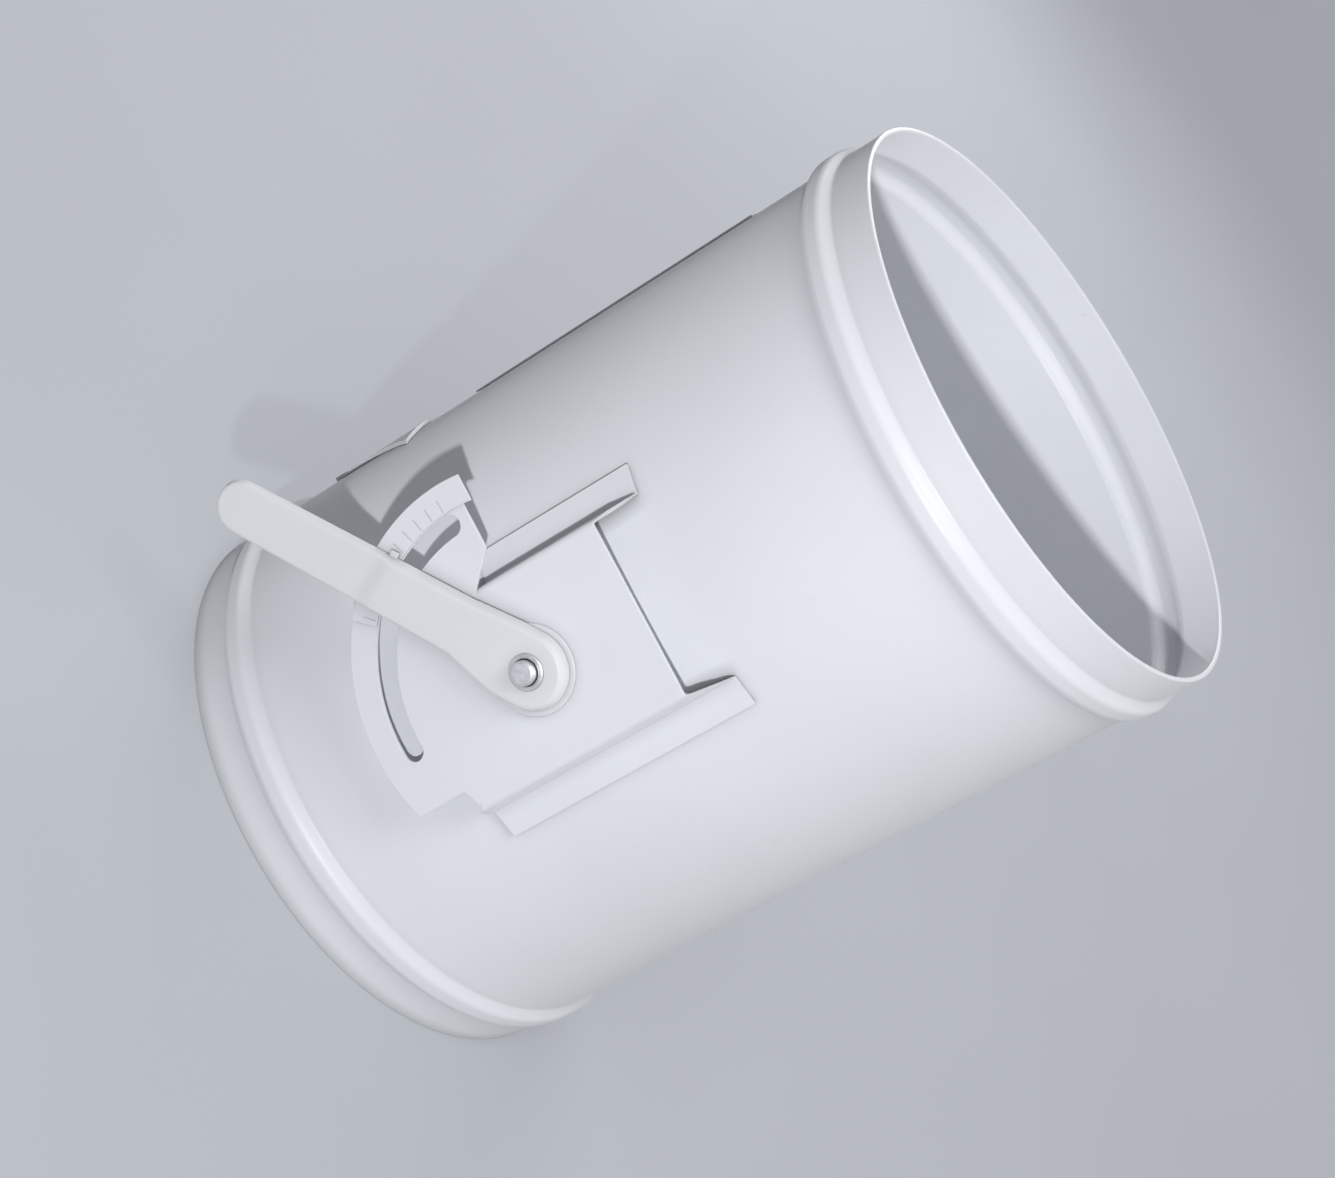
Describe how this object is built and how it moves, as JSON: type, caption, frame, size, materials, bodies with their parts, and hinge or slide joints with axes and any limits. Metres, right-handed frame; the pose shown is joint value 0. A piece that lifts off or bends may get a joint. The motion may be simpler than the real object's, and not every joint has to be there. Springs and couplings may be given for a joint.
{
  "type": "round volume control damper",
  "caption": "Round duct section with a beaded spigot at each end, a pivoting disc blade inside and a hand lever that turns it over a slotted quadrant.",
  "frame": {"origin": "centre of the lower opening, on the duct axis, in the plane of the lower rim", "axes": "+Z along the duct axis, towards the end further from the lever's pivot; the lever side faces -Y; the quadrant reaches out towards -X"},
  "size_m": [0.256, 0.2774, 0.35],
  "materials": {
    "white_coated_sheet": "satin white-grey coating on sheet steel",
    "white_coated_lever": "smooth satin white coating",
    "galvanised_sheet": "galvanised sheet",
    "plated_steel": "zinc-plated, turned",
    "nylon": "natural moulded nylon"
  },
  "bodies": {
    "duct_body": {"casing": "white_coated_sheet", "seam_strip": "white_coated_sheet", "seam_tab": "white_coated_sheet", "quadrant_bracket": "white_coated_sheet", "scale_strip": "white_coated_sheet", "near_bush": "nylon", "far_bush": "nylon", "plate_bush": "white_coated_sheet"},
    "blade_and_lever": {"spindle": "plated_steel", "end_washer": "plated_steel", "end_clip": "plated_steel", "lever_hub": "plated_steel", "hub_roll_pin": "plated_steel", "lever": "white_coated_lever", "guide_stud": "plated_steel", "stud_washer": "nylon", "stud_clip": "plated_steel", "blade": "galvanised_sheet", "near_saddle": "galvanised_sheet", "far_saddle": "galvanised_sheet", "saddle_rivets": "plated_steel"}
  },
  "joints": [
    {"name": "blade_turn", "type": "hinge", "parent": "duct_body", "child": "blade_and_lever", "pos_m": [0, 0, 0.16], "axis": [0, 1, 0], "range_deg": [-57, 33]}
  ]
}
